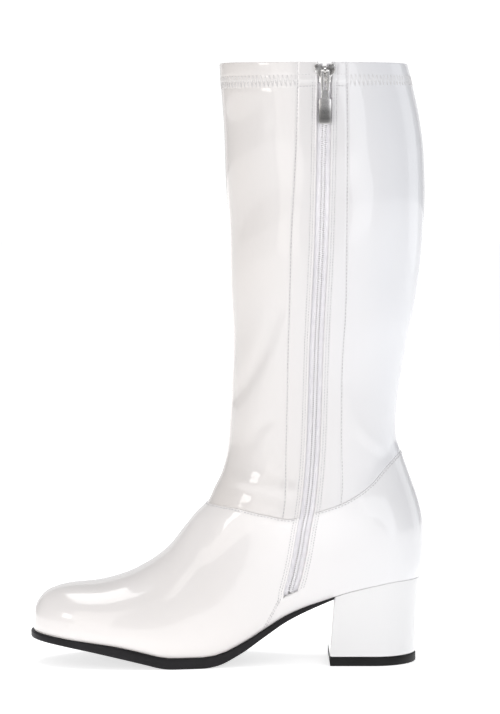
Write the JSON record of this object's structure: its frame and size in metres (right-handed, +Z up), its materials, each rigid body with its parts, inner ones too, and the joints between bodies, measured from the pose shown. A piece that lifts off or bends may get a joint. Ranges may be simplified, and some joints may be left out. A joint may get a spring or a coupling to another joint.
{
  "type": "go go boot",
  "caption": "Calf-high patent go go boot for the right foot, with a soft square toe, an inner side zip, a thin sole and a covered block heel.",
  "frame": {"origin": "centre of the heel's ground face, on the top lift", "axes": "+Z up, toe toward -X, inner (medial) side with the zip toward -Y, outer side toward +Y"},
  "size_m": [0.2633, 0.1013, 0.3991],
  "materials": {
    "patent_upper": "white patent, high gloss",
    "patent_shaft": "white stretch patent, high gloss",
    "heel_cover": "white patent cover, high gloss",
    "sole_rubber": "black, satin",
    "lift_rubber": "black, matte",
    "insole_lining": "off-white, matte",
    "zip_tape": "white woven tape",
    "zip_coil": "white nylon",
    "zip_metal": "polished nickel"
  },
  "bodies": {
    "boot": {"upper": "patent_upper", "shaft": "patent_shaft", "insole": "insole_lining", "outsole": "sole_rubber", "heel_block": "heel_cover", "top_lift": "lift_rubber", "zip_tape_front": "zip_tape", "zip_tape_back": "zip_tape", "zip_coil": "zip_coil", "zip_slider": "zip_metal"},
    "pull": {"zip_pull": "zip_metal"}
  },
  "joints": [
    {"name": "pull_swing", "type": "hinge", "parent": "boot", "child": "pull", "pos_m": [-0.0334, -0.0508, 0.3929], "axis": [-1, 0, 0], "range_deg": [0, 160]}
  ]
}
